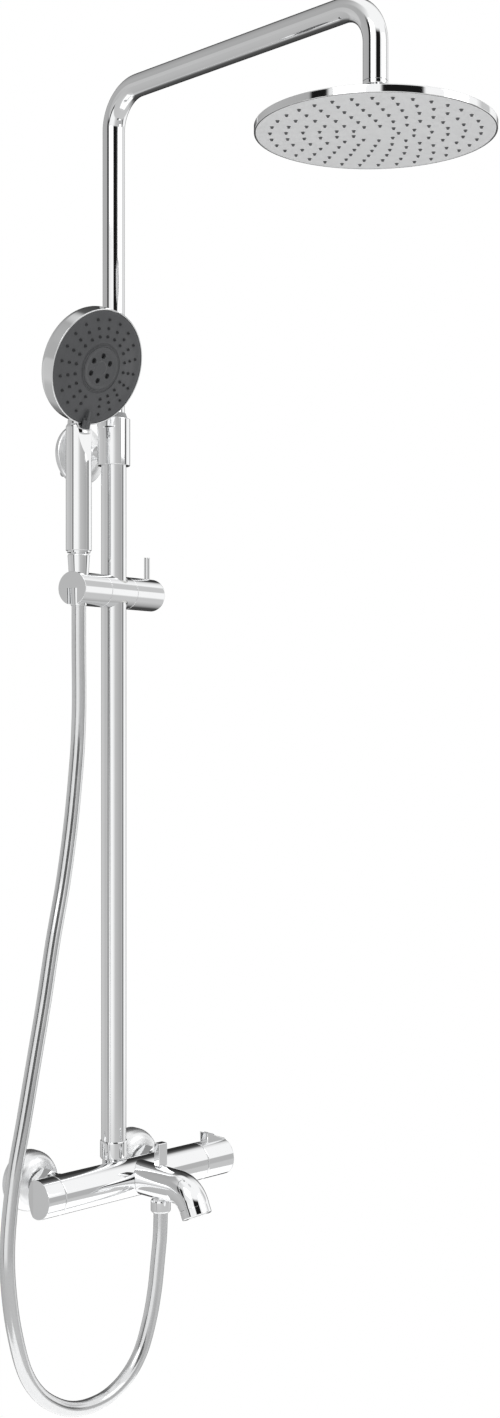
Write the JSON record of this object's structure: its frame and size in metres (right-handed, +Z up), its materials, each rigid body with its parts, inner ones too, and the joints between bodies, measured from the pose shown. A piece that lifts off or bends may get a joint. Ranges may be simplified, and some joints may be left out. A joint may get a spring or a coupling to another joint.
{
  "type": "rainfall shower column",
  "caption": "Wall-mounted chrome shower column: thermostatic bath mixer with spout, telescopic riser with bent arm and tilting rain head, and a handset on a hose in a sliding holder.",
  "frame": {"origin": "on the wall, midway between the two inlets, at the height of the mixer's axis", "axes": "+Y into the wall, +Z up the column, +X to the right of someone who faces the wall"},
  "size_m": [0.3594, 0.5917, 1.443],
  "materials": {
    "chrome": "mirror-bright chrome plating",
    "chromed_plastic": "mirror-bright chrome plating on moulded plastic",
    "brass": "turned",
    "steel": "plain",
    "dark_grey_plastic": "satin moulded",
    "grey_plastic": "satin moulded",
    "white_nylon": "smooth",
    "ceramic": "smooth",
    "silicone": "matt",
    "rubber": "matt",
    "red_plastic": "gloss",
    "hose_silver": "smooth silver sheath"
  },
  "bodies": {
    "mixer": {"mixer_body": "chrome", "spout": "chrome", "aerator_housing": "chrome", "aerator_insert": "white_nylon", "hose_nipple": "brass", "outlet_nut": "chrome", "outlet_washer": "rubber", "wall_union_left": "brass", "wall_union_right": "brass", "union_nut_left": "chrome", "union_nut_right": "chrome", "wall_rosette_left": "chrome", "wall_rosette_right": "chrome", "filter_washer_left": "rubber", "filter_washer_right": "rubber", "riser_nut": "chrome", "riser_washer": "rubber", "lower_tube": "chrome", "bracket_collar": "chrome", "bracket_arm": "chrome", "bracket_rosette": "chrome", "bracket_wall_plate": "brass", "wall_screw_upper": "steel", "wall_screw_lower": "steel", "wall_plug_upper": "grey_plastic", "wall_plug_lower": "grey_plastic", "column_gasket": "grey_plastic", "stop_ring": "white_nylon", "flow_cartridge": "ceramic", "thermostat_cartridge": "brass", "shower_hose": "hose_silver"},
    "column_guide": {"column_guide": "white_nylon"},
    "arm": {"upper_tube": "chrome", "ball_stem": "chrome"},
    "upper_seat": {"upper_ball_seat": "white_nylon"},
    "lower_seat": {"lower_ball_seat": "white_nylon"},
    "rain_head": {"rain_head_shell": "chromed_plastic", "rain_nozzle_plate": "chromed_plastic", "rain_nozzle_mat": "silicone", "swivel_nut": "chrome"},
    "carriage": {"slider_bush": "white_nylon"},
    "slider": {"slider_body": "chromed_plastic", "clamp_shoe": "white_nylon", "holder_axle": "steel"},
    "clamp_lever": {"clamp_lever": "chromed_plastic"},
    "holder": {"handset_holder": "chromed_plastic"},
    "hose_end": {"cone_nut": "chrome", "handset_washer": "rubber"},
    "handset": {"handset_shell": "chromed_plastic", "spray_disc": "dark_grey_plastic", "handset_nozzle_mat": "silicone"},
    "spray_selector": {"spray_face": "dark_grey_plastic"},
    "thermostat_handle": {"thermostat_handle": "chrome", "button_spring": "steel"},
    "safety_button": {"safety_button": "red_plastic"},
    "flow_handle": {"flow_handle": "chrome"},
    "diverter": {"diverter_knob": "chrome", "diverter_valve": "brass"}
  },
  "joints": [
    {"name": "column_height", "type": "slide", "parent": "mixer", "child": "column_guide", "axis": [0, 0, 1], "range_m": [-0.15, 0.05]},
    {"name": "arm_turn", "type": "hinge", "parent": "column_guide", "child": "arm", "pos_m": [0, -0.061, 1], "axis": [0, 0, 1], "range_deg": [-45, 45]},
    {"name": "head_tilt_side", "type": "hinge", "parent": "arm", "child": "upper_seat", "pos_m": [0, -0.446, 1.106], "axis": [0, 1, 0], "range_deg": [-9, 9]},
    {"name": "head_tilt_front", "type": "hinge", "parent": "upper_seat", "child": "lower_seat", "pos_m": [0, -0.446, 1.106], "axis": [1, 0, 0], "range_deg": [-9, 9]},
    {"name": "head_turn", "type": "hinge", "parent": "lower_seat", "child": "rain_head", "pos_m": [0, -0.446, 1.106], "axis": [0, 0, 1], "range_deg": [-180, 180]},
    {"name": "slider_height", "type": "slide", "parent": "mixer", "child": "carriage", "axis": [0, 0, 1], "range_m": [-0.45, 0.11], "deforming": ["shower_hose"]},
    {"name": "slider_turn", "type": "hinge", "parent": "carriage", "child": "slider", "pos_m": [0, -0.061, 0.6525], "axis": [0, 0, 1], "range_deg": [-28, 20], "deforming": ["shower_hose"]},
    {"name": "clamp_release", "type": "hinge", "parent": "slider", "child": "clamp_lever", "pos_m": [0, -0.061, 0.6525], "axis": [0.9681, 0.2504, 0], "range_deg": [-60, 20]},
    {"name": "holder_tilt", "type": "hinge", "parent": "slider", "child": "holder", "pos_m": [0, -0.061, 0.6525], "axis": [0.9681, 0.2504, 0], "range_deg": [0, 30], "deforming": ["shower_hose"]},
    {"name": "handset_lift", "type": "slide", "parent": "holder", "child": "hose_end", "axis": [0, 0, 1], "range_m": [0, 0.1], "deforming": ["shower_hose"]},
    {"name": "handset_turn", "type": "hinge", "parent": "hose_end", "child": "handset", "pos_m": [-0.06438, -0.07765, 0.69], "axis": [0, 0, 1], "range_deg": [-45, 0]},
    {"name": "spray_select", "type": "hinge", "parent": "handset", "child": "spray_selector", "pos_m": [-0.063, -0.10802, 0.8883], "axis": [0.0425, -0.9357, -0.3502], "range_deg": [-40, 40]},
    {"name": "thermostat_turn", "type": "hinge", "parent": "mixer", "child": "thermostat_handle", "pos_m": [0.1133, -0.076, 0], "axis": [1, 0, 0], "range_deg": [-60, 120]},
    {"name": "safety_press", "type": "slide", "parent": "thermostat_handle", "child": "safety_button", "axis": [-0.342, 0, -0.9397], "range_m": [0, 0.0012], "stiffness_N_per_m": 800, "springref_m": -0.001, "deforming": ["button_spring"]},
    {"name": "flow_turn", "type": "hinge", "parent": "mixer", "child": "flow_handle", "pos_m": [-0.0973, -0.076, 0], "axis": [1, 0, 0], "range_deg": [-90, 90]},
    {"name": "diverter_turn", "type": "hinge", "parent": "mixer", "child": "diverter", "pos_m": [0.018, -0.119, 0.02], "axis": [0, 0, 1], "range_deg": [-90, 90]}
  ]
}
